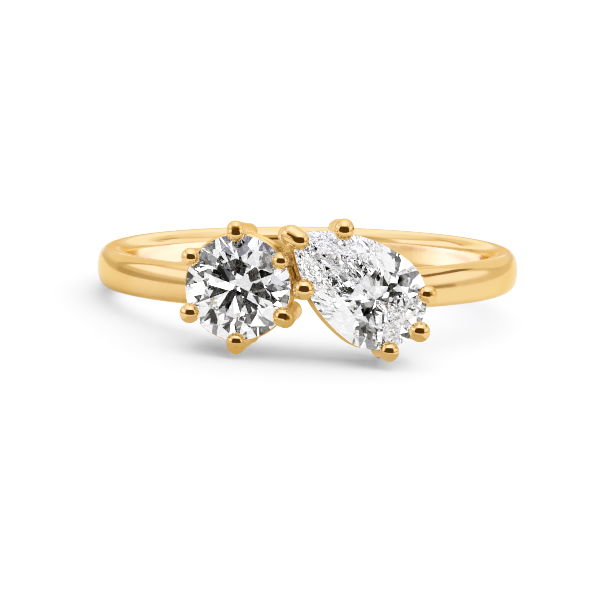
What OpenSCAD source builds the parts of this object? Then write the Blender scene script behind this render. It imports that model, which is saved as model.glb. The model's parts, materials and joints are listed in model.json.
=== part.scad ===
// Two-stone ring: a plain rounded band with a round and a pear diamond side by side,
// each held by six ball-tipped claws. The ring lies on its side, as it rests on a table.
// The finger hole's centre is the origin, +Z is up, and the stones face -Y.

/* [Band] */
// Diameter of the finger hole
hole_d = 17.3; // [15.5:0.1:20]
// Width of the band along the finger
band_w = 1.9; // [1.7:0.05:2.3]
// Thickness of the band at the middle of its width
band_t = 1.3; // [1.25:0.05:1.6]
// Radius of the band's inner corners
band_inner_r = 0.6; // [0.3:0.05:0.65]
// Radius of the band's outer corners
band_outer_r = 0.55; // [0.3:0.05:0.6]
// Radius of the band's crowned outer face
band_crown_r = 1.85; // [1.6:0.05:3]
// Width of the band's neck, where it passes under the two heads
neck_w = 0.9; // [0.8:0.05:1.4]
// Length along the ring over which the band narrows to the neck and widens again
neck_l = 9; // [7:0.5:10]

/* [Round diamond] */
// Diameter at the girdle
round_d = 4.88; // [4.6:0.02:5]
// Place of the girdle's centre, to the right of the finger hole's centre
round_x = -3.19; // [-3.4:0.01:-3.1]
// Height of the girdle's centre above the middle of the band
round_z = 0.38; // [0:0.01:0.5]
// Turn of the head about the finger's direction, outwards to the left
round_tilt = 8; // [4:0.5:12]
// Pitch of the head, so that its stone faces a little upwards
round_pitch = 2.5; // [0:0.5:6]

/* [Pear diamond] */
// Length from the tip to the round end
pear_l = 7.24; // [7:0.02:7.4]
// Width at the widest place
pear_w = 4.64; // [4.5:0.02:4.8]
// Place of the round end's centre, to the right of the finger hole's centre
pear_x = 3.21; // [3.15:0.01:3.4]
// Height of the round end's centre above the middle of the band
pear_z = -0.1; // [-0.3:0.01:0.1]
// Slope of the pear's long axis, down from the tip to the round end
pear_slope = 37.5; // [36:0.5:41]
// Turn of the head about the finger's direction, outwards to the right
pear_tilt = 8; // [4:0.5:12]
// Pitch of the head, so that its stone faces a little upwards
pear_pitch = 5; // [0:0.5:6]

/* [Cut of the stones] */
// Height of the crown over the girdle, as a share of the stone's width
crown_share = 0.147; // [0.13:0.001:0.16]
// Depth of the pavilion under the girdle, as a share of the stone's width
pavilion_share = 0.425; // [0.41:0.005:0.44]
// Width of the table, as a share of the stone's width
table_share = 0.57; // [0.54:0.01:0.6]
// Thickness of the girdle where the facets' corners meet it
girdle_h = 0.16; // [0.12:0.01:0.2]

/* [Heads] */
// Height of the girdles over the crown of the band
head_rise = 2.15; // [2.1:0.05:2.5]
// Radius of the ball at the tip of an average claw
ball_r = 0.465; // [0.42:0.005:0.5]
// Radius of the upright wire of an average claw
claw_r = 0.43; // [0.38:0.01:0.44]
// Radius of a claw's foot, which runs in to the band
foot_r = 0.36; // [0.32:0.01:0.38]
// Radius of the wire of the seat rails and gallery rails
rail_r = 0.2; // [0.16:0.01:0.22]
// Gap between each stone and the metal that holds it
seat_gap = 0.03; // [0.02:0.01:0.05]

/* [Hidden] */
$fn = 72;

gold = [0.86, 0.66, 0.33];
diamond = [0.92, 0.95, 0.98, 0.6];

// Radii of the band
hole_r = hole_d / 2;
crown_r = hole_r + band_t;

// Angles at which the ring comes to rest by itself, on a claw of the pear's head and on the
// band's far lower edge: the heads rise, and the pear's side rises
rest_pitch = 5.1;
rest_roll = 3.56;

// Girdle centres of the two stones in the ring's own frame, finger direction along Z
girdle_y = -(crown_r + head_rise);
round_place = [round_x, girdle_y, round_z];
pear_place = [pear_x, girdle_y, pear_z];

// Half sizes of the stones, and the two arcs of the pear's outline: the round end is a
// half circle, and each flank is an arc tangent to it that runs to the tip
round_r = round_d / 2;
pear_r = pear_w / 2;
tip_x = pear_r - pear_l;
flank_r = (tip_x * tip_x + pear_r * pear_r) / (2 * pear_r);
flank_y = pear_r - flank_r;
tip_turn = 90 + asin(-tip_x / flank_r);

// Heights of a claw's parts over the girdle plane: the feet end inside the band
ball_z = 0.36;
foot_z = -head_rise - 0.55;
elbow_z = foot_z + 0.25;
elbow_r = claw_r + 0.03;
wire_end_r = claw_r + 0.01;

// Claws of the round head, one in a row: the direction that its ball and upright wire stand
// in, how far the ball's centre and the wire's centre lie outside the girdle, the same
// direction and distance for its elbow, and its thickness as a share of an average claw's.
// The feet run in to one point near the head's axis.
round_claws = [
    [92.6, 0.11, 0.28, 92.4, -0.02, 0.9],
    [32.8, -0.05, -0.05, 31.8, -0.1, 0.88],
    [-30.5, 0.07, 0.2, -30.5, -0.14, 1.02],
    [-89.9, 0.05, 0.19, -89.2, -0.12, 0.96],
    [-150.6, 0.06, 0.07, -151.2, -0.12, 1],
    [148, 0.14, 0.15, 147.3, -0.12, 0.92]];
round_foot = [0.2, 0];

// Claws of the pear head in the same columns, then the point that the foot runs in to. A
// direction is the one that the outline faces at the claw.
pear_claws = [
    [119.6, 0.14, 0.2, 118.5, 0.12, 1.04, [-1.1, -0.2]],
    [-117.7, 0.14, 0.15, -117.7, 0.05, 1.07, [-1.1, -0.2]],
    [43.5, -0.03, 0.05, 43.5, 0, 0.9, [0.2, 0.1]],
    [0.5, 0.125, 0.13, 0.5, 0, 1.04, [0.2, 0.1]],
    [-40, 0.12, 0.13, -39, 0.04, 1, [0.2, 0.1]]];

// The pear's tip claw leans over the tip: its outer and inner balls, and its elbow, from
// the tip of the girdle
tip_outer = [-0.06, -0.08, 0.1];
tip_inner = [0.35, -0.04, 0.42];
tip_elbow = [0.12, 0];
tip_outer_r = 0.5;
tip_inner_r = 0.45;
tip_wire_r = 0.43;

// Width of the sloped part of the notches' cutter, and its slopes, which clear the facets
cutter_w = 1.25;
cutter_crown = 0.88;
cutter_pavilion = 0.92;

// Seat rails close under the girdles and gallery rails half way down the claws, with the
// distances of their wires' centres inside the girdle and the rails' shifts off the axis
round_seat_z = -0.56;
round_seat_in = 0.12;
round_seat_shift = [-0.05, 0];
pear_seat_z = -0.7;
pear_seat_in = 0.19;
gallery_z = -1.7;
round_gallery_in = 0.2;
round_gallery_shift = [0.04, 0.03];
pear_gallery_in = 0.24;
pear_gallery_shift = [0, -0.06];

function polar(r, a) = r * [cos(a), sin(a)];
function lift(p, z) = [p[0], p[1], z];

// Steps of the arcs in the band's corners and crown and in the pear's outline
corner_steps = 6;
crown_steps = 4;
outline_steps = 12;

// Points of an arc in even steps
function arc(c, r, from, to, steps) =
    [for (i = [0:steps]) c + polar(r, from + (to - from) * i / steps)];

// Outline of each stone at a place that faces the direction a, moved outwards by out
function round_edge(a, out = 0) = polar(round_r + out, a);
function pear_edge(a, out = 0) =
    abs(a) <= 90 ? polar(pear_r + out, a)
    : [0, sign(a) * flank_y] + polar(flank_r + out, a);

// Places of a claw's ball, of the top of its upright wire and of its elbow, from its row
function ball_place(c, pear = false) =
    lift(pear ? pear_edge(c[0], c[1]) : round_edge(c[0], c[1]), ball_z);
function shank_place(c, pear = false) =
    lift(pear ? pear_edge(c[0], c[2]) : round_edge(c[0], c[2]), ball_z);
function elbow_place(c, pear = false) =
    lift(pear ? pear_edge(c[3], c[4]) : round_edge(c[3], c[4]) + round_foot, elbow_z);

// Plane geometry for the facets
function meet(n1, d1, n2, d2) =
    [d1 * n2[1] - d2 * n1[1], n1[0] * d2 - n2[0] * d1] / (n1[0] * n2[1] - n1[1] * n2[0]);
function plane_z(p, a, b, c) =
    let (n = cross(b - a, c - a)) a[2] - (n[0] * (p[0] - a[0]) + n[1] * (p[1] - a[1])) / n[2];

// Outline points of the brilliant cut: main facets stand at even stations, and each stretch
// between two stations has a few points on its arc. A station is a direction and a point.
arc_steps = 3;
round_stations = [for (i = [0:16]) let (a = 22.5 * i) [a, round_edge(a)]];
pear_turns = [0, 24, 48, 72, 95, 106, 118, 129];
pear_half = [for (a = pear_turns) [a, pear_edge(a)]];
pear_stations = concat(
    pear_half,
    [[180, [tip_x, 0]]],
    [for (i = [7:-1:0]) [360 - pear_turns[i], pear_edge(-pear_turns[i])]]);

// Points between two stations, without the second one
function round_stretch(i) =
    [for (k = [0:arc_steps - 1]) round_edge(22.5 * (i + k / arc_steps))];
function pear_stretch(i) =
    let (j = i < 8 ? i : 15 - i,
         to = j == 7 ? tip_turn : pear_turns[j + 1],
         turns = [for (k = [0:arc_steps]) pear_turns[j] + (to - pear_turns[j]) * k / arc_steps])
    [for (k = [0:arc_steps - 1])
        i < 8 ? pear_edge(turns[k]) : pear_edge(-turns[arc_steps - k])];

// Width of a main facet across the crown, wider at the pear's sharp tip
function main_w(r, is_tip) =
    let (w = r * (1 - table_share))
    is_tip ? sqrt(pow(flank_r - w, 2) - flank_y * flank_y) * -1 - tip_x : w;

// Corner points of a brilliant: table corners on the main facets, star corners and pavilion
// corners where two mains meet, the girdle's two scalloped edges and the culet
star_drop = 0.68;
half_length = 0.77;
function brilliant(r, stations, stretches, pear = false) =
    let (
        top = girdle_h / 2,
        crown_h = 2 * r * crown_share,
        pavilion_h = 2 * r * pavilion_share,
        main = [for (i = [0:8])
            let (s = stations[2 * i], n = polar(1, s[0]))
            [n, s[1] * n, main_w(r, pear && i == 4), s[1]]],
        tables = [for (i = [0:7]) lift(main[i][3] - main[i][2] * main[i][0], top + crown_h)],
        stars = [for (i = [0:7]) let (a = main[i], b = main[i + 1])
            lift(meet(a[0], a[1] - star_drop * a[2], b[0], b[1] - star_drop * b[2]),
                top + crown_h * star_drop)],
        lows = [for (i = [0:7]) let (a = main[i], b = main[i + 1])
            lift(meet(a[0], a[1] * (1 - half_length), b[0], b[1] * (1 - half_length)),
                -top - pavilion_h * half_length)],
        edges = [for (i = [0:15], p = stretches[i])
            let (k = floor(i / 2), a = stations[i][1], b = stations[i + 1][1])
            each [
                lift(p, plane_z(p, lift(a, top), lift(b, top), stars[k])),
                lift(p, plane_z(p, lift(a, -top), lift(b, -top), lows[k]))]])
    concat(tables, stars, lows, edges, [[0, 0, -top - pavilion_h]]);

// Convex solid over a list of corner points
module gem(points) {
    hull() polyhedron(points, [for (i = [0:len(points) - 3]) [i, i + 1, i + 2]]);
}

// Turns the ring from its own frame, whose Z axis is the finger's, into its resting pose
module resting() {
    rotate([-rest_pitch, -rest_roll, 0]) children();
}

// Puts a head's frame on its girdle centre, its axis along the stone's axis
module on_head(place, pitch, tilt) {
    translate(place) rotate([90 - pitch, 0, tilt]) children();
}

// Section of the band: flat on the finger, rounded corners and a crowned outer face
module band_section() {
    corner_z = band_w / 2 - band_outer_r;
    crown_x = crown_r - band_crown_r;
    corner_x = crown_x + sqrt(pow(band_crown_r - band_outer_r, 2) - corner_z * corner_z);
    turn = atan2(corner_z, corner_x - crown_x);
    upper = concat(
        arc([hole_r + band_inner_r, band_w / 2 - band_inner_r], band_inner_r, 180, 90, corner_steps),
        arc([corner_x, corner_z], band_outer_r, 90, turn, corner_steps),
        arc([crown_x, 0], band_crown_r, turn, 0, crown_steps));
    lower = [for (i = [len(upper) - 2:-1:0]) [upper[i][0], -upper[i][1]]];
    polygon(concat(upper, lower));
}

// The band narrows to its neck between two large round cuts
module band() {
    cut_depth = (band_w - neck_w) / 2;
    cut_r = (neck_l * neck_l / 4 + cut_depth * cut_depth) / (2 * cut_depth);
    difference() {
        rotate_extrude($fn = 180) band_section();
        for (side = [-1, 1])
            translate([0, -hole_r / 2, side * (neck_w / 2 + cut_r)])
                rotate([90, 0, 0]) cylinder(h = hole_r, r = cut_r, $fn = 360);
    }
}

// Straight round bar from one point to another
module bar(from, to, r) {
    d = to - from;
    translate(from) rotate([0, acos(d[2] / norm(d)), atan2(d[1], d[0])]) cylinder(h = norm(d), r = r);
}

// One claw of a given thickness: ball, upright wire with a round end, elbow, and a foot that
// runs in to the band
module claw(ball_at, shank_at, elbow_at, foot_at, share) {
    translate(ball_at) sphere(share * ball_r);
    translate(shank_at) sphere(share * wire_end_r);
    bar(elbow_at, shank_at, share * claw_r);
    translate(elbow_at) sphere(share * elbow_r);
    bar(foot_at, elbow_at, foot_r);
}

// Double cone that clears a round outline of radius r, for the claws' notches
module seat_cutter(r) {
    side = girdle_h / 2 + seat_gap;
    low = side + cutter_w * cutter_pavilion;
    high = side + cutter_w * cutter_crown;
    rotate_extrude($fn = 144) polygon([
        [0, -low], [r + seat_gap - cutter_w, -low], [r + seat_gap, -side],
        [r + seat_gap, side], [r + seat_gap - cutter_w, high], [0, high]]);
}

module round_head() {
    for (c = round_claws)
        difference() {
            claw(ball_place(c), shank_place(c), elbow_place(c), lift(round_foot, foot_z), c[5]);
            seat_cutter(round_r);
        }
    translate(lift(round_seat_shift, round_seat_z)) wire_ring(round_r - round_seat_in);
    translate(lift(round_gallery_shift, gallery_z)) wire_ring(round_r - round_gallery_in);
}

module wire_ring(r) {
    rotate_extrude($fn = 144) translate([r, 0]) circle(rail_r, $fn = 32);
}

// Notch cutter for the pear's flanks and tip: the part that two large double cones share
module flank_cutter() {
    past = 2;
    intersection() {
        translate([0, flank_y]) seat_cutter(flank_r);
        translate([0, -flank_y]) seat_cutter(flank_r);
        translate([tip_x - past, -pear_w, -past]) cube([past - tip_x, 2 * pear_w, 2 * past]);
    }
}

// Rail of square wire that follows the pear's outline
module pear_rail(z, in) {
    translate([0, 0, z - rail_r]) linear_extrude(2 * rail_r) difference() {
        pear_outline(rail_r - in);
        pear_outline(-rail_r - in);
    }
}

// The pear's outline moved outwards by out: a quarter circle, then a flank up to the tip
module pear_outline(out) {
    flank = flank_r + out;
    turn = acos(-flank_y / flank);
    upper = concat(
        arc([0, 0], pear_r + out, 0, 90, outline_steps),
        [for (i = [1:outline_steps]) [0, flank_y] + polar(flank, 90 + turn * i / outline_steps)]);
    polygon(concat(upper, [for (i = [len(upper) - 2:-1:1]) [upper[i][0], -upper[i][1]]]));
}

module pear_head() {
    for (c = pear_claws)
        difference() {
            claw(ball_place(c, true), shank_place(c, true), elbow_place(c, true),
                lift(c[6], foot_z), c[5]);
            if (abs(c[0]) > 90) flank_cutter();
            else seat_cutter(pear_r);
        }
    difference() {
        tip_claw(pear_claws[0][6]);
        flank_cutter();
    }
    pear_rail(pear_seat_z, pear_seat_in);
    translate(pear_gallery_shift) pear_rail(gallery_z, pear_gallery_in);
}

module tip_claw(foot) {
    outer = [tip_x, 0, 0] + tip_outer;
    inner = [tip_x, 0, 0] + tip_inner;
    elbow = lift([tip_x, 0] + tip_elbow, elbow_z);
    translate(inner) sphere(tip_inner_r);
    bar(outer, inner, tip_wire_r);
    translate(outer) sphere(tip_outer_r);
    bar(elbow, outer, claw_r);
    translate(elbow) sphere(elbow_r);
    bar(lift(foot, foot_z), elbow, foot_r);
}

module ring_mounting() {
    color(gold) resting() {
        band();
        on_head(round_place, round_pitch, -round_tilt) round_head();
        on_head(pear_place, pear_pitch, pear_tilt) rotate([0, 0, -pear_slope]) pear_head();
    }
}

module round_diamond() {
    color(diamond) resting() on_head(round_place, round_pitch, -round_tilt)
        gem(brilliant(round_r, round_stations, [for (i = [0:15]) round_stretch(i)]));
}

module pear_diamond() {
    color(diamond) resting() on_head(pear_place, pear_pitch, pear_tilt) rotate([0, 0, -pear_slope])
        gem(brilliant(pear_r, pear_stations, [for (i = [0:15]) pear_stretch(i)], true));
}

ring_mounting();
round_diamond();
pear_diamond();
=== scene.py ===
import json
import math

import bmesh
import bpy
from mathutils import Matrix, Vector


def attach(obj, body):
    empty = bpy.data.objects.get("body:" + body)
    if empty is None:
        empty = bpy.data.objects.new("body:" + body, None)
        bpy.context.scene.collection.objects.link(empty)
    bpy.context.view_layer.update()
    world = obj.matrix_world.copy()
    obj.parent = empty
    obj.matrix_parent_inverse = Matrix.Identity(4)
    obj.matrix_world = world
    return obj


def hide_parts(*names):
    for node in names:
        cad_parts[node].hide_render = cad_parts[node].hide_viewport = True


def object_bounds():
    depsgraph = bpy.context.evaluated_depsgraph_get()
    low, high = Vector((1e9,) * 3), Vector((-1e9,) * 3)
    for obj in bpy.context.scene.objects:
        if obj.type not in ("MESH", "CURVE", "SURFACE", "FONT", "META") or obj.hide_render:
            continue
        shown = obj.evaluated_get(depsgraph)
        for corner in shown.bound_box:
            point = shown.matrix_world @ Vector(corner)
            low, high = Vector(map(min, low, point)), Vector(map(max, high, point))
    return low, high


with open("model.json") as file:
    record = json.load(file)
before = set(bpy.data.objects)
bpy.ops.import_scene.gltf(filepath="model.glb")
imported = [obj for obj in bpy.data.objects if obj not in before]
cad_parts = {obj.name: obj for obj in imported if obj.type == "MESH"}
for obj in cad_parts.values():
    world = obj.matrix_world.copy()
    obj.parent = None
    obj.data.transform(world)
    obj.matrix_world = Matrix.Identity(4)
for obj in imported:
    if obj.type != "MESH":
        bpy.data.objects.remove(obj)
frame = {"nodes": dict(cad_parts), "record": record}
cad_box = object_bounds()

# Sizes are in millimetres and places in the ring's own frame, whose Z axis is the finger's,
# until a mesh is laid down in its resting pose, in metres
MM = 0.001

# Resting pose, from the axis of the finger hole
finger_hole = frame["record"]["mounts"][0]
finger = Vector(finger_hole["axis"])
rest_pitch = math.asin(finger.y)
rest_roll = math.atan2(-finger.x, finger.z)
REST = Matrix.Rotation(-rest_roll, 4, "Y") @ Matrix.Rotation(-rest_pitch, 4, "X")

# Band: width, thickness, radii of its inner corners, outer corners and crown, and its neck
hole_r = finger_hole["dims"]["r_mm"]
band_w = 1.9
band_t = 1.3
band_inner_r = 0.6
band_outer_r = 0.55
band_crown_r = 1.85
neck_w = 0.9
neck_l = 9.0
crown_r = hole_r + band_t

# Stones: girdle places, sizes and the turns of their heads
head_rise = 2.15
girdle_y = -(crown_r + head_rise)
round_place = Vector((-3.19, girdle_y, 0.38))
round_r = 4.88 / 2
round_pitch = 2.5
round_tilt = -8.0
pear_place = Vector((3.21, girdle_y, -0.1))
pear_l = 7.24
pear_r = 4.64 / 2
pear_pitch = 5.0
pear_tilt = 8.0
pear_slope = 37.5

# The pear's outline: a half circle at its round end, and flanks that are arcs up to the tip
tip_x = pear_r - pear_l
flank_r = (tip_x * tip_x + pear_r * pear_r) / (2 * pear_r)
flank_y = pear_r - flank_r

# Heights over the girdle plane and radii of a claw's parts. The feet end inside the band.
ball_z = 0.36
foot_z = -head_rise - 0.55
elbow_z = foot_z + 0.25
ball_r = 0.465
claw_r = 0.43
wire_end_r = 0.44
elbow_r = 0.46
foot_r = 0.36
seat_gap = 0.03

# Round head's claws, one in a row: the direction of its ball and wire in degrees, how far the
# ball's centre and the wire's centre lie outside the girdle, the same direction and distance for
# its elbow, and its thickness as a share of an average claw's
ROUND_CLAWS = [
    (92.6, 0.11, 0.28, 92.4, -0.02, 0.9),
    (32.8, -0.05, -0.05, 31.8, -0.1, 0.88),
    (-30.5, 0.07, 0.2, -30.5, -0.14, 1.02),
    (-89.9, 0.05, 0.19, -89.2, -0.12, 0.96),
    (-150.6, 0.06, 0.07, -151.2, -0.12, 1.0),
    (148, 0.14, 0.15, 147.3, -0.12, 0.92),
]

# Point that the round head's feet run in to. Its elbows are shifted by as much.
ROUND_FOOT = (0.2, 0.0)

# Pear head's claws in the same columns, then the point that the foot runs in to. A direction is
# the one that the outline faces at the claw.
TIP_FOOT = (-1.1, -0.2)
END_FOOT = (0.2, 0.1)
PEAR_CLAWS = [
    (119.6, 0.14, 0.2, 118.5, 0.12, 1.04, TIP_FOOT),
    (-117.7, 0.14, 0.15, -117.7, 0.05, 1.07, TIP_FOOT),
    (43.5, -0.03, 0.05, 43.5, 0.0, 0.9, END_FOOT),
    (0.5, 0.125, 0.13, 0.5, 0.0, 1.04, END_FOOT),
    (-40, 0.12, 0.13, -39, 0.04, 1.0, END_FOOT),
]

# The pear's tip claw, which is a pill over the tip: the centres of the pill's ends, the centre
# of the elbow, and the radii of the pill's ends
TIP_OUTER = Vector((tip_x - 0.06, -0.08, 0.1))
TIP_INNER = Vector((tip_x + 0.35, -0.04, 0.42))
TIP_ELBOW = Vector((tip_x + 0.12, 0.0, elbow_z))
tip_outer_r = 0.5
tip_inner_r = 0.45

# Rails: wire radius, heights, how far their wires' centres lie inside the girdle, and shifts
rail_r = 0.2
round_seat_z = -0.56
round_seat_in = 0.12
ROUND_SEAT_SHIFT = (-0.05, 0.0)
pear_seat_z = -0.7
pear_seat_in = 0.19
PEAR_SEAT_SHIFT = (0.0, 0.0)
gallery_z = -1.7
round_gallery_in = 0.2
ROUND_GALLERY_SHIFT = (0.04, 0.03)
pear_gallery_in = 0.24
PEAR_GALLERY_SHIFT = (0.0, -0.06)

# Fineness of the meshes
ball_turns = 48
wire_sides = 40
wire_steps = 6
rail_sides = 20
rail_steps = 120
band_steps = 288
corner_steps = 14
crown_steps = 8

# Angle between two faces, in degrees, from which the edge between them is sharp
crease = 32

# Corners of a stone that are nearer than this are one corner
weld = 0.0005

scene = bpy.context.scene


def polar(r, degrees):
    angle = math.radians(degrees)
    return Vector((r * math.cos(angle), r * math.sin(angle)))


def lift(p, z):
    return Vector((p[0], p[1], z))


def arc(centre, r, start, end, steps):
    """Points of an arc in even steps."""
    return [Vector(centre) + polar(r, start + (end - start) * i / steps) for i in range(steps + 1)]


def circle(r, sides):
    """Corners of a circle, each of them once."""
    return [polar(r, 360 * i / sides) for i in range(sides)]


def mirrored(upper):
    """A closed outline from its upper half, whose two ends lie on the X axis."""
    lower = [Vector((p.x, -p.y)) for p in reversed(upper[1:-1])]
    return upper + lower


def round_edge(direction, out=0.0):
    """The round stone's outline in a direction, moved outwards by out."""
    return polar(round_r + out, direction)


def pear_edge(direction, out=0.0):
    """The pear's outline at the place that faces a direction, moved outwards by out."""
    if abs(direction) <= 90:
        return polar(pear_r + out, direction)
    centre = Vector((0, flank_y if direction > 0 else -flank_y))
    return centre + polar(flank_r + out, direction)


def new_object(name, data):
    obj = bpy.data.objects.new(name, data)
    scene.collection.objects.link(obj)
    return obj


def new_mesh(name, verts, faces):
    mesh = bpy.data.meshes.new(name)
    mesh.from_pydata(verts, [], faces)
    return new_object(name, mesh)


def from_bmesh(name, bm):
    """An object with the form of a bmesh, which is freed."""
    mesh = bpy.data.meshes.new(name)
    bm.to_mesh(mesh)
    bm.free()
    return new_object(name, mesh)


def grid(name, rows, close_rows, caps=False):
    """A surface through rows of points, each row a closed loop."""
    width = len(rows[0])
    verts = [p for row in rows for p in row]
    count = len(rows) if close_rows else len(rows) - 1
    faces = []
    for i in range(count):
        a = i * width
        b = (i + 1) % len(rows) * width
        for j in range(width):
            k = (j + 1) % width
            faces.append((a + j, b + j, b + k, a + k))
    if caps:
        last = (len(rows) - 1) * width
        faces.append(tuple(range(width)))
        faces.append(tuple(last + j for j in reversed(range(width))))
    obj = new_mesh(name, verts, faces)
    bm = bmesh.new()
    bm.from_mesh(obj.data)
    bmesh.ops.recalc_face_normals(bm, faces=bm.faces)
    bm.to_mesh(obj.data)
    bm.free()
    return obj


def ball(centre, r):
    bm = bmesh.new()
    bmesh.ops.create_uvsphere(bm, u_segments=ball_turns, v_segments=ball_turns // 2, radius=r)
    bmesh.ops.translate(bm, verts=bm.verts, vec=centre)
    return from_bmesh("ball", bm)


def bar(start, end, r):
    """Straight round wire from one point to another."""
    along = (end - start).normalized()
    side = along.orthogonal().normalized()
    other = along.cross(side)
    section = circle(r, wire_sides)
    rows = []
    for i in range(wire_steps + 1):
        centre = start.lerp(end, i / wire_steps)
        rows.append([centre + side * p.x + other * p.y for p in section])
    return grid("bar", rows, False, caps=True)


def round_rail(shift, z, r):
    """Rail of round wire, bent to a circle."""
    section = circle(rail_r, rail_sides)
    rows = []
    for d in circle(1, rail_steps):
        rows.append([lift(Vector(shift) + d * (r + p.x), z + p.y) for p in section])
    return grid("rail", rows, True)


def pear_outline(out):
    """The pear's closed outline moved outwards by out, the same number of points for any out."""
    flank = flank_r + out
    turn = math.degrees(math.acos(-flank_y / flank))
    upper = arc((0, 0), pear_r + out, 0, 90, rail_steps // 4)
    upper += arc((0, flank_y), flank, 90, 90 + turn, rail_steps // 4)[1:]
    return mirrored(upper)


def pear_rail(shift, z, inside):
    """Rail of wire that follows the pear's outline, with a mitre at the tip."""
    section = circle(rail_r, rail_sides)
    rows = [[lift(q + Vector(shift), z + p.y) for q in pear_outline(p.x - inside)] for p in section]
    return grid("rail", rows, True)


def band_section():
    """Section of the band as (radius, height): flat inside, rounded corners, crowned outside."""
    corner_z = band_w / 2 - band_outer_r
    crown_x = crown_r - band_crown_r
    corner_x = crown_x + math.sqrt((band_crown_r - band_outer_r) ** 2 - corner_z ** 2)
    turn = math.degrees(math.atan2(corner_z, corner_x - crown_x))
    inner = (hole_r + band_inner_r, band_w / 2 - band_inner_r)
    upper = [Vector((hole_r, 0))]
    upper += arc(inner, band_inner_r, 180, 90, corner_steps)
    upper += arc((corner_x, corner_z), band_outer_r, 90, turn, corner_steps)
    upper += arc((crown_x, 0), band_crown_r, turn, 0, crown_steps)[1:]
    return mirrored(upper)


def neck_share(x, y):
    """Width of the band at a place as a share of its full width: two round cuts make the neck."""
    if y >= 0 or abs(x) >= neck_l / 2:
        return 1.0
    cut = (band_w - neck_w) / 2
    cut_r = (neck_l * neck_l / 4 + cut * cut) / (2 * cut)
    half = neck_w / 2 + cut_r - math.sqrt(cut_r ** 2 - x ** 2)
    return half / (band_w / 2)


def band():
    """The band, which narrows to its neck under the heads."""
    section = band_section()
    rows = []
    for d in circle(1, band_steps):
        row = []
        for p in section:
            x = d.x * p.x
            y = d.y * p.x
            row.append(Vector((x, y, p.y * neck_share(x, y))))
        rows.append(row)
    return grid("band", rows, True)


def claw(edge, columns, foot_at, elbow_shift=(0, 0)):
    """One claw: ball, round-ended upright wire, elbow, and a foot that runs in to the band."""
    direction, ball_out, wire_out, elbow_direction, elbow_out, share = columns
    ball_at = lift(edge(direction, ball_out), ball_z)
    wire_at = lift(edge(direction, wire_out), ball_z)
    elbow_at = lift(edge(elbow_direction, elbow_out) + Vector(elbow_shift), elbow_z)
    return [
        ball(ball_at, share * ball_r),
        ball(wire_at, share * wire_end_r),
        bar(wire_at, elbow_at, share * claw_r),
        ball(elbow_at, share * elbow_r),
        bar(elbow_at, lift(foot_at, foot_z), foot_r),
    ]


def pill(start, end, r_start, r_end):
    """Two balls and all that lies between them."""
    bm = bmesh.new()
    for piece in (ball(start, r_start), ball(end, r_end)):
        for vert in piece.data.vertices:
            bm.verts.new(vert.co)
        bpy.data.objects.remove(piece)
    bmesh.ops.convex_hull(bm, input=bm.verts)
    inside = [vert for vert in bm.verts if not vert.link_faces]
    bmesh.ops.delete(bm, geom=inside, context="VERTS")
    bmesh.ops.recalc_face_normals(bm, faces=bm.faces)
    return from_bmesh("pill", bm)


def tip_claw():
    """The pear's tip claw, which leans over the tip."""
    return [
        pill(TIP_OUTER, TIP_INNER, tip_outer_r, tip_inner_r),
        bar(TIP_OUTER, TIP_ELBOW, claw_r),
        ball(TIP_ELBOW, elbow_r),
        bar(TIP_ELBOW, lift(TIP_FOOT, foot_z), foot_r),
    ]


def on_head(place, pitch, tilt, turn=0.0):
    """The frame of a head in the ring's own frame, its Z axis along the stone's axis."""
    return (
        Matrix.Translation(place)
        @ Matrix.Rotation(math.radians(tilt), 4, "Z")
        @ Matrix.Rotation(math.radians(90 - pitch), 4, "X")
        @ Matrix.Rotation(math.radians(turn), 4, "Z")
    )


ROUND_HEAD = on_head(round_place, round_pitch, round_tilt)
PEAR_HEAD = on_head(pear_place, pear_pitch, pear_tilt, -pear_slope)


def placed(pieces, matrix):
    for piece in pieces:
        piece.data.transform(matrix)
    return pieces


def round_head():
    """Claws and rails of the round stone's head, in the ring's own frame."""
    pieces = []
    for columns in ROUND_CLAWS:
        pieces += claw(round_edge, columns, ROUND_FOOT, elbow_shift=ROUND_FOOT)
    pieces.append(round_rail(ROUND_SEAT_SHIFT, round_seat_z, round_r - round_seat_in))
    pieces.append(round_rail(ROUND_GALLERY_SHIFT, gallery_z, round_r - round_gallery_in))
    return placed(pieces, ROUND_HEAD)


def pear_head():
    """Claws and rails of the pear's head, in the ring's own frame."""
    pieces = []
    for *columns, foot_at in PEAR_CLAWS:
        pieces += claw(pear_edge, columns, foot_at)
    pieces += tip_claw()
    pieces.append(pear_rail(PEAR_SEAT_SHIFT, pear_seat_z, pear_seat_in))
    pieces.append(pear_rail(PEAR_GALLERY_SHIFT, gallery_z, pear_gallery_in))
    return placed(pieces, PEAR_HEAD)


def cut_by(obj, others, operation):
    """obj joined with, or cut by, each of the others in turn."""
    for other in others:
        modifier = obj.modifiers.new("cut", "BOOLEAN")
        modifier.operation = operation
        modifier.solver = "MANIFOLD"
        modifier.object = other
    evaluated = obj.evaluated_get(bpy.context.evaluated_depsgraph_get())
    mesh = bpy.data.meshes.new_from_object(evaluated)
    obj.modifiers.clear()
    obj.data = mesh
    for other in others:
        bpy.data.objects.remove(other)
    return obj


def notch_cutter(node, centre, size):
    """A closed copy of a stone in millimetres in the ring's own frame, larger by the gap."""
    bm = bmesh.new()
    bm.from_mesh(frame["nodes"][node].data)
    bmesh.ops.transform(bm, verts=bm.verts, matrix=Matrix.Scale(1 / MM, 4))
    bmesh.ops.transform(bm, verts=bm.verts, matrix=REST.inverted())
    bmesh.ops.remove_doubles(bm, verts=bm.verts, dist=weld)
    grow = Matrix.Translation(centre) @ Matrix.Scale(1 + seat_gap / size, 4) @ Matrix.Translation(-centre)
    bmesh.ops.transform(bm, verts=bm.verts, matrix=grow)
    bmesh.ops.recalc_face_normals(bm, faces=bm.faces)
    return from_bmesh("cutter", bm)


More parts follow.
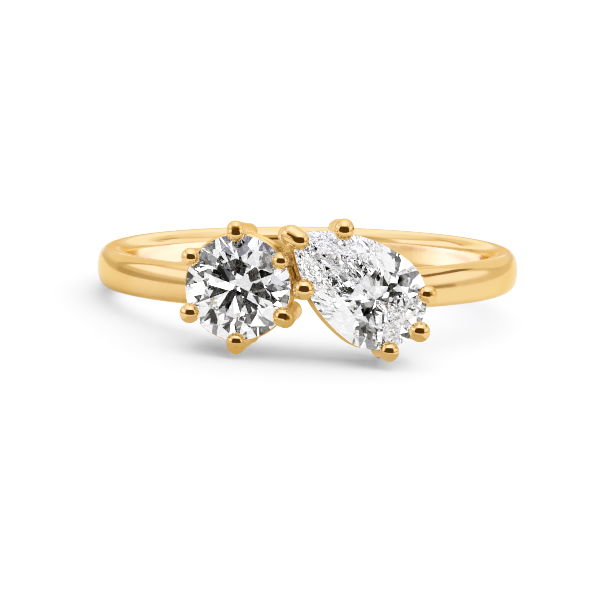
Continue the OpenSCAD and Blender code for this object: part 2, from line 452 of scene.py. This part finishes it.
# Roughness of the polished balls, of the band, and of the wires that polishing hardly reaches
ball_haze = 0.06
band_haze = 0.13
wire_haze = 0.32

# A place on the metal belongs to a ball or to the band up to this far outside it
near = 0.01

# Steps along the tip claw's pill, with a ball at each end of a step
pill_steps = 4


def claw_balls():
    """Centre in the ring's own frame and radius of each ball at a claw's tip."""
    balls = []
    heads = ((ROUND_HEAD, round_edge, ROUND_CLAWS), (PEAR_HEAD, pear_edge, PEAR_CLAWS))
    for head, edge, claws in heads:
        for direction, ball_out, _, _, _, share, *_ in claws:
            balls.append((head @ lift(edge(direction, ball_out), ball_z), share * ball_r))
    for i in range(pill_steps + 1):
        centre = TIP_OUTER.lerp(TIP_INNER, i / pill_steps)
        r = tip_outer_r + (tip_inner_r - tip_outer_r) * i / pill_steps
        balls.append((PEAR_HEAD @ centre, r))
    return balls


def add_haze(mesh):
    """Keeps the roughness of each place, from the form that it lies on, with the mesh."""
    balls = claw_balls()
    haze = mesh.attributes.new("haze", "FLOAT", "POINT")
    for vert, place in zip(mesh.vertices, haze.data):
        p = vert.co
        if any((p - centre).length < r + near for centre, r in balls):
            place.value = ball_haze
        elif math.hypot(p.x, p.y) < crown_r + near:
            place.value = band_haze
        else:
            place.value = wire_haze


def make_mounting():
    """All the metal as one closed mesh."""
    heads = round_head() + pear_head()
    metal = cut_by(band(), heads, "UNION")
    cutters = [
        notch_cutter("round_diamond", round_place, round_r),
        notch_cutter("pear_diamond", pear_place, pear_r),
    ]
    metal = cut_by(metal, cutters, "DIFFERENCE")
    metal.name = "polished_mounting"
    add_haze(metal.data)
    metal.data.transform(Matrix.Scale(MM, 4) @ REST)
    metal.data.shade_smooth()
    metal.data.set_sharp_from_angle(angle=math.radians(crease))
    return metal


class Nodes:
    """A node tree with short ways to add and join nodes."""

    def __init__(self, node_tree):
        self.nodes = node_tree.nodes
        self.links = node_tree.links
        self.nodes.clear()

    def feed(self, socket, value):
        """Joins an output to a socket, or sets the socket to a number or a colour."""
        if isinstance(value, bpy.types.NodeSocket):
            self.links.new(value, socket)
        else:
            socket.default_value = value

    def add(self, kind, sockets=None, **settings):
        """A new node with its settings, and with its sockets fed by name or number."""
        node = self.nodes.new(kind)
        for name, value in settings.items():
            setattr(node, name, value)
        for name, value in (sockets or {}).items():
            self.feed(node.inputs[name], value)
        return node

    def end_with(self, kind, sockets, output="ShaderNodeOutputMaterial"):
        """The shader that the tree ends with, and the tree's output."""
        shader = self.add(kind, sockets)
        self.add(output, {"Surface": shader.outputs[0]})

    def math(self, operation, *values):
        node = self.add("ShaderNodeMath", operation=operation)
        for socket, value in zip(node.inputs, values):
            self.feed(socket, value)
        return node.outputs[0]

    def mix(self, share, a, b, data_type="FLOAT", blend_type="MIX"):
        """Goes from a to b as the share goes from 0 to 1."""
        sockets = {"Factor": share, "A": a, "B": b}
        node = self.add("ShaderNodeMix", sockets, data_type=data_type, blend_type=blend_type)
        return node.outputs["Result"]

    def ramp(self, value, low, high, to_low=0.0, to_high=1.0):
        """Smooth step of a value from low to high, into another range."""
        sockets = {"Value": value, "From Min": low, "From Max": high, "To Min": to_low, "To Max": to_high}
        node = self.add("ShaderNodeMapRange", sockets, interpolation_type="SMOOTHSTEP")
        return node.outputs["Result"]

    def noise(self, scale, detail):
        """Noise that stays with the object."""
        place = self.add("ShaderNodeTexCoord").outputs["Object"]
        node = self.add("ShaderNodeTexNoise", {"Scale": scale, "Detail": detail, "Vector": place})
        return node.outputs["Fac"]


def start_material(name):
    """A new material and its empty node tree."""
    material = bpy.data.materials.new(name)
    material.use_nodes = True
    return material, Nodes(material.node_tree)


# Noise in the materials: its scale in cells a metre, and its detail
GOLD_CLOUDS = (350.0, 2.0)
GOLD_WEAR = (900.0, 4.0)
GOLD_SCRATCHES = (6000.0, 3.0)
STONE_CLOUDS = (500.0, 2.0)
STONE_POLISH = (1500.0, 2.0)

# Levels of the noise between which one shade gives way to the other
CLOUD_LEVELS = (0.35, 0.65)

# Levels of the noise between which the wear grows, and the shares of the roughness that it gives
WEAR_LEVELS = (0.3, 0.7, 0.8, 1.2)

# Levels of the noise between which the polish gets duller, and the roughness that it gives
POLISH_LEVELS = (0.45, 0.75, 0.0, 0.01)

# Gold: its two shades, its tint at a flat angle, the painted shade on the wires deep among the heads,
# as what they keep of the light in each colour, its shade where another surface sees it, and the
# strength and depth of its scratches
GOLD_SHADES = ((0.87, 0.577, 0.297, 1), (0.91, 0.617, 0.332, 1))
gold_edge = (1.0, 0.88, 0.68, 1)
wire_painted_shade = (1.0, 0.98, 0.88, 1)
gold_echo = (0.98, 0.98, 0.98, 1)
scratch_strength = 0.02
scratch_depth = 0.02

# Diamond: its two shades, the tint of the light that its faces throw back, and its refraction
STONE_SHADES = ((0.985, 0.99, 1.0, 1), (1.0, 1.0, 1.0, 1))
stone_glint = (1.0, 0.98, 0.93, 1)
stone_ior = 2.417

# Floor: its grey, its grey in reflections, the share of it that shows through the stones, its
# roughness and its gloss
floor_grey = 0.8
floor_reflected = 0.66
floor_through_stones = 0.95
floor_haze = 0.7
floor_gloss = 0.1


def gold_material():
    """Polished yellow gold: faint clouds in colour, painted shade on the wires, polishing haze and finest
    scratches.
    """
    material, tree = start_material("polished_gold")
    haze = tree.add("ShaderNodeAttribute", attribute_name="haze").outputs["Fac"]
    clouds = tree.ramp(tree.noise(*GOLD_CLOUDS), *CLOUD_LEVELS)
    shade = tree.mix(clouds, *GOLD_SHADES, "RGBA")
    # Painted shade: the wires, which lie deep among the heads and stones, get a darker, warmer colour
    # than the band and balls
    painted_shade_share = tree.ramp(haze, band_haze, wire_haze)
    shade = tree.mix(painted_shade_share, shade, wire_painted_shade, "RGBA", "MULTIPLY")
    ray = tree.add("ShaderNodeLightPath").outputs
    echo = tree.math("MAXIMUM", ray["Is Transmission Ray"], ray["Is Diffuse Ray"])
    echo = tree.math("MAXIMUM", echo, ray["Is Glossy Ray"])
    wear = tree.ramp(tree.noise(*GOLD_WEAR), *WEAR_LEVELS)
    scratches = tree.add("ShaderNodeBump", {
        "Strength": scratch_strength,
        "Distance": MM * scratch_depth,
        "Height": tree.noise(*GOLD_SCRATCHES),
    })
    tree.end_with("ShaderNodeBsdfPrincipled", {
        "Metallic": 1.0,
        "Specular Tint": gold_edge,
        "Base Color": tree.mix(echo, shade, gold_echo, "RGBA"),
        "Roughness": tree.math("MULTIPLY", haze, wear),
        "Normal": scratches.outputs[0],
    })
    return material


def diamond_material():
    """Clear diamond: strong refraction, hardly any tint, polish that varies a trace."""
    material, tree = start_material("clear_diamond")
    clouds = tree.ramp(tree.noise(*STONE_CLOUDS), *CLOUD_LEVELS)
    tree.end_with("ShaderNodeBsdfPrincipled", {
        "Transmission Weight": 1.0,
        "IOR": stone_ior,
        "Specular Tint": stone_glint,
        "Base Color": tree.mix(clouds, *STONE_SHADES, "RGBA"),
        "Roughness": tree.ramp(tree.noise(*STONE_POLISH), *POLISH_LEVELS),
    })
    return material


def floor_material():
    """Pale dull floor, darker in reflections and through the stones."""
    material, tree = start_material("pale_floor")
    ray = tree.add("ShaderNodeLightPath").outputs
    grey = tree.ramp(ray["Is Glossy Ray"], 0, 1, floor_grey, floor_reflected)
    share = tree.ramp(ray["Is Transmission Ray"], 0, 1, 1.0, floor_through_stones)
    tree.end_with("ShaderNodeBsdfPrincipled", {
        "Base Color": tree.math("MULTIPLY", grey, share),
        "Roughness": floor_haze,
        "Specular IOR Level": floor_gloss,
    })
    return material


# Studio in reflections, which is what the metal sees: brightness of its wall, then its cards,
# each over the ones before. A card has its azimuth, from and to, which is 0 at the photograph's
# side and grows towards the pear's, its elevation, from and to, the softness of its edge, the
# lean of its azimuth per degree of elevation, and its brightness. Angles are in degrees.
metal_wall = 1.0
METAL_SKY = [
    (-180, 180, 34, 120, 14, 0, 1.4),
    (-180, 180, 58, 120, 10, 0, 1.7),
    (-62, 62, 20, 54, 6, 0, 0.85),
    (-52, 52, 50, 82, 6, 0, 1.9),
    (-190, -125, 4, 42, 6, 0, 1.2),
    (125, 190, 4, 42, 6, 0, 1.2),
    (-124, -60, 5, 35, 5, 0, 1.65),
    (60, 122, 5, 37, 5, 0, 1.5),
    (-134, -122, -10, 42, 3, 0.1, 0.85),
    (131, 146, -10, 28, 4, -0.95, 0.95),
    (138, 153, 26, 40, 4, -0.95, 0.7),
]

# Studio through the stones: how many cards lie along a radius of the sky, the place in the
# random pattern of cards, and their tones. Each card draws a number from 0 to 1, and a tone has
# the number from which it is taken, and its brightness.
stone_cards = 5.0
stone_seed = 16.0
STONE_TONES = [(0.0, 0.02), (0.43, 0.3), (0.62, 3.5)]

# Studio as the floor sees it: its brightness at the horizon and overhead, and how much more of
# it comes from the pear's side. Last, the brightness of the backdrop that the camera sees.
FLOOR_SKY = (1.2, 2.85)
floor_lean = 0.65
backdrop = 1.0

# Level of the whole studio, and the cooler tone of bright light in reflections: from and to
# which brightness it sets in, and its gain in blue
sky_level = 0.8
cool_from = 1.2
cool_to = 1.7
cool_gain = 1.2


def metal_sky(tree, azimuth, elevation):
    """Brightness of a wall with soft-edged cards on it, each over the ones before."""
    light = metal_wall
    for az_from, az_to, el_from, el_to, soft, lean, value in METAL_SKY:
        low_edge = tree.ramp(elevation, el_from, el_from + soft)
        high_edge = tree.ramp(elevation, el_to - soft, el_to, 1.0, 0.0)
        mask = tree.math("MULTIPLY", low_edge, high_edge)
        if az_to - az_from < 360:
            turned = tree.math("SUBTRACT", azimuth, tree.math("MULTIPLY", elevation, lean))
            left_edge = tree.ramp(turned, az_from, az_from + soft)
            right_edge = tree.ramp(turned, az_to - soft, az_to, 1.0, 0.0)
            mask = tree.math("MULTIPLY", mask, tree.math("MULTIPLY", left_edge, right_edge))
        light = tree.mix(mask, light, value)
    return light


def stone_sky(tree, direction):
    """Brightness of a sky of cards, each of one tone."""
    seed = (stone_seed, stone_seed, stone_seed)
    shift = tree.add("ShaderNodeVectorMath", {0: direction, 1: seed}, operation="ADD")
    cells = tree.add("ShaderNodeTexVoronoi", {"Scale": stone_cards, "Vector": shift.outputs[0]})
    chance = tree.add("ShaderNodeSeparateColor", {"Color": cells.outputs["Color"]})
    tones = tree.add("ShaderNodeValToRGB", {"Fac": chance.outputs[0]})
    tones.color_ramp.interpolation = "CONSTANT"
    steps = tones.color_ramp.elements
    for i, (start, value) in enumerate(STONE_TONES):
        step = steps[i] if i < len(steps) else steps.new(start)
        step.position = start
        step.color = (value, value, value, 1)
    return tones.outputs["Color"]


def floor_sky(tree, x, elevation):
    """Brightness that grows upwards and towards the pear's side."""
    leaning = tree.math("ADD", tree.math("MULTIPLY", x, floor_lean), 1.0)
    return tree.math("MULTIPLY", tree.ramp(elevation, 0, 90, *FLOOR_SKY), leaning)


def studio_tint(tree, ray, metal_light):
    """Level of the studio as a colour, with more blue in the bright light of reflections."""
    reflected = tree.math("SUBTRACT", ray["Is Glossy Ray"], ray["Is Transmission Ray"])
    cool = tree.ramp(metal_light, cool_from, cool_to, sky_level, sky_level * cool_gain)
    blue = tree.mix(reflected, sky_level, cool)
    tint = tree.add("ShaderNodeCombineColor", {"Red": sky_level, "Green": sky_level, "Blue": blue})
    return tint.outputs[0]


def light_studio():
    """Soft light from all round, which differs for the floor, reflections and the stones."""
    world = bpy.data.worlds.new("studio")
    scene.world = world
    world.use_nodes = True
    world.cycles.sampling_method = "NONE"
    tree = Nodes(world.node_tree)
    direction = tree.add("ShaderNodeTexCoord").outputs["Generated"]
    x, y, z = tree.add("ShaderNodeSeparateXYZ", {"Vector": direction}).outputs
    azimuth = tree.math("DEGREES", tree.math("ARCTAN2", x, tree.math("MULTIPLY", y, -1.0)))
    elevation = tree.math("DEGREES", tree.math("ARCSINE", z))
    metal_light = metal_sky(tree, azimuth, elevation)
    ray = tree.add("ShaderNodeLightPath").outputs
    light = tree.mix(ray["Is Diffuse Ray"], backdrop, floor_sky(tree, x, elevation))
    light = tree.mix(ray["Is Glossy Ray"], light, metal_light)
    light = tree.mix(ray["Is Transmission Ray"], light, stone_sky(tree, direction))
    sockets = {"Color": studio_tint(tree, ray, metal_light), "Strength": light}
    tree.end_with("ShaderNodeBackground", sockets, "ShaderNodeOutputWorld")


WHITE = (1, 1, 1)

# Cards round the ring, which show in reflections alone. Their places are over the floor, with X
# to the pear's side and Y to the back.

# Dark card that stands on the floor before the ring: distance, half width and height
front_flag = (26, 21, 20)
front_dark = 0.2

# Dark cards beside the ring: place across, from and to along, foot and top over the floor, and
# brightness
SIDE_FLAGS = (
    ("left_flag", -22, -45, 6, 0.0, 2.5, 0.58),
    ("left_end_flag", -22, 6, 45, 0.0, 2.5, 0.71),
    ("right_flag", 32, -8, 45, 1.6, 5.2, 0.8),
    ("right_front_flag", 32, -45, -8, 1.6, 5.2, 0.45),
    ("right_high_flag", 10.7, -10, -3.5, 6.2, 8.5, 0.35),
)

# Bright level card over the back of the band: half width, from and to along, height over the
# floor
back_half = 11
back_from = 9.5
back_to = 17
back_z = 5.4
back_bright = 1.0
back_colour = (1.25, 1.3, 1.55)

# Warm card that stands on the floor behind the ring: distance, half width and height
rear_card = (60, 16, 6.5)
rear_bright = 0.95
rear_colour = (0.95, 0.74, 0.48)

# Dim card just over the floor before the stones, a painted shadow of the floor under the heads that
# shows in reflections: half width, from and to along, height
shade_half = 7
shade_from = -17
shade_to = -9.5
shade_z = 0.02
shade_value = 0.72

# Half the side of the square floor
floor_half = 1000


def add_flag(name, corners, value, colour=WHITE):
    """A card that shows in reflections alone."""
    flag = new_mesh(name, corners, [(0, 1, 2, 3)])
    material, tree = start_material(name)
    tree.end_with("ShaderNodeEmission", {"Color": (*colour, 1), "Strength": value})
    flag.data.materials.append(material)
    flag.visible_camera = False
    flag.visible_diffuse = False
    flag.visible_transmission = False
    flag.visible_shadow = False


def standing(a, b, z_from, z_to):
    """Corners of an upright card that runs from one place to the other, in metres."""
    corners = [(*a, z_from), (*b, z_from), (*b, z_to), (*a, z_to)]
    return [MM * Vector(corner) for corner in corners]


def lying(half, y_from, y_to, z):
    """Corners of a level card, in metres."""
    corners = [(-half, y_from, z), (half, y_from, z), (half, y_to, z), (-half, y_to, z)]
    return [MM * Vector(corner) for corner in corners]


def add_flags(floor_z):
    """The cards round the ring, over a floor whose height is in metres."""
    z = floor_z / MM
    away, half, high = front_flag
    front = standing((-half, -away), (half, -away), z, z + high)
    add_flag("front_flag", front, front_dark)
    for name, x, y_from, y_to, low, top, value in SIDE_FLAGS:
        side = standing((x, y_from), (x, y_to), z + low, z + top)
        add_flag(name, side, value)
    back = lying(back_half, back_from, back_to, z + back_z)
    add_flag("back_card", back, back_bright, back_colour)
    away, half, high = rear_card
    rear = standing((-half, away), (half, away), z, z + high)
    add_flag("rear_card", rear, rear_bright, rear_colour)
    # Painted shadow: a dim card where the floor before the stones lies in shade, seen in reflections
    # alone
    shade = lying(shade_half, shade_from, shade_to, z + shade_z)
    add_flag("painted_floor_shadow", shade, shade_value)


def add_floor(floor_z):
    half = MM * floor_half
    corners = [(x, y, floor_z) for x, y in ((-half, -half), (half, -half), (half, half), (-half, half))]
    floor = new_mesh("floor", corners, [(0, 1, 2, 3)])
    floor.data.materials.append(floor_material())


# Ring of small flat lights inside the band, which show in the band's inner face, in the ring's
# own frame: foot and top, then for each arc its radius, where it starts and ends in degrees, its
# number of lights, and their brightness at the start and at the end
inner_low = -0.9
inner_top = 0.34
INNER_ARCS = (
    (8.15, -20, 45, 11, 0.68, 0.68),
    (8.15, 45, 58.5, 8, 0.66, 0.02),
    (8.0, 117, 200, 14, 0.6, 0.6),
)
inner_colour = (0.97, 0.99, 1.65)

# A flat light's brightness is its power over its area and over this number
area_share = 4.0


def inner_light(r, start, end, bright):
    """One flat light on a chord of the ring of lights."""
    half = math.radians(end - start) / 2
    middle = (start + end) / 2
    outwards = lift(polar(1, middle), 0)
    upwards = Vector((0, 0, 1))
    along = upwards.cross(-outwards)
    basis = Matrix((along, upwards, -outwards)).transposed().to_4x4()
    centre = outwards * r * math.cos(half) + upwards * (inner_low + inner_top) / 2
    light = bpy.data.lights.new("inner_light", "AREA")
    light.shape = "RECTANGLE"
    light.size = MM * 2 * r * math.sin(half)
    light.size_y = MM * (inner_top - inner_low)
    light.color = inner_colour
    light.energy = bright * area_share * light.size * light.size_y
    obj = new_object("inner_light", light)
    obj.matrix_world = REST @ Matrix.Translation(MM * centre) @ basis
    obj.visible_camera = False
    obj.visible_diffuse = False
    obj.visible_transmission = False


def light_inside():
    for r, start, end, count, first, last in INNER_ARCS:
        step = (end - start) / count
        for i in range(count):
            bright = first + (last - first) * i / (count - 1)
            inner_light(r, start + step * i, start + step * (i + 1), bright)


# Camera at the photograph's place: elevation over the ring's own plane, roll, distance, pixels
# per millimetre at the ring and the pixel on which the ring's centre lands
camera_elevation = 6.345
camera_roll = 0.802
camera_distance = 421.483
pixels_per_mm = 21.101
centre_pixel = (307.545, 267.57)

# Side of the picture in pixels, width of the camera's sensor, and nearest and farthest that the
# camera sees, in metres
picture = 600
sensor = 36.0
clip_near = 0.01
clip_far = 10.0


def add_camera():
    pixels_per_radian = pixels_per_mm * camera_distance
    rise = math.radians(camera_elevation)
    roll = math.radians(camera_roll)
    back = Vector((0, -math.cos(rise), math.sin(rise)))
    up = Vector((0, math.sin(rise), math.cos(rise)))
    right = Vector((1, 0, 0))
    rolled_right = right * math.cos(roll) + up * math.sin(roll)
    rolled_up = up * math.cos(roll) - right * math.sin(roll)
    basis = Matrix((rolled_right, rolled_up, back)).transposed().to_4x4()
    yaw = math.atan((centre_pixel[0] - picture / 2) / pixels_per_radian)
    nod = math.atan((centre_pixel[1] - picture / 2) / pixels_per_radian)
    aim = Matrix.Rotation(yaw, 4, "Y") @ Matrix.Rotation(nod, 4, "X")
    place = Matrix.Translation(back * camera_distance * MM)
    data = bpy.data.cameras.new("camera")
    data.sensor_width = sensor
    data.lens = sensor * pixels_per_radian / picture
    data.clip_start = clip_near
    data.clip_end = clip_far
    camera = new_object("camera", data)
    camera.matrix_world = REST @ place @ basis @ aim
    scene.camera = camera


# Tone of the picture for each scene light, and the highest light that the curve takes: shades
# fall off faster below the middle, and the brightest ones run out softly into white
TONE = [(0, 0), (0.08, 0.01), (0.174, 0.08), (0.32, 0.266), (0.6, 0.604), (0.85, 0.84), (1.17, 1)]
highest_light = 2.0

# How often light may bounce, and the width of the filter of the picture's pixels
bounces = 48
pixel_width = 1.1


def set_tone():
    scene.view_settings.view_transform = "Standard"
    scene.view_settings.use_curve_mapping = True
    tone = scene.view_settings.curve_mapping
    tone.clip_max_x = highest_light
    combined = 3
    points = tone.curves[combined].points
    points[0].location = TONE[0]
    points[-1].location = TONE[-1]
    for place in TONE[1:-1]:
        points.new(*place)
    tone.update()


def set_render():
    scene.cycles.max_bounces = bounces
    scene.cycles.glossy_bounces = bounces
    scene.cycles.transmission_bounces = bounces
    scene.cycles.filter_width = pixel_width


add_camera()
mounting = make_mounting()
mounting.data.materials.clear()
mounting.data.materials.append(gold_material())
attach(mounting, "root")
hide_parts("ring_mounting")

diamond = diamond_material()
for name in ("round_diamond", "pear_diamond"):
    for place in frame["nodes"][name].material_slots:
        place.material = diamond

add_floor(cad_box[0].z)
add_flags(cad_box[0].z)
light_studio()
light_inside()
set_render()
set_tone()
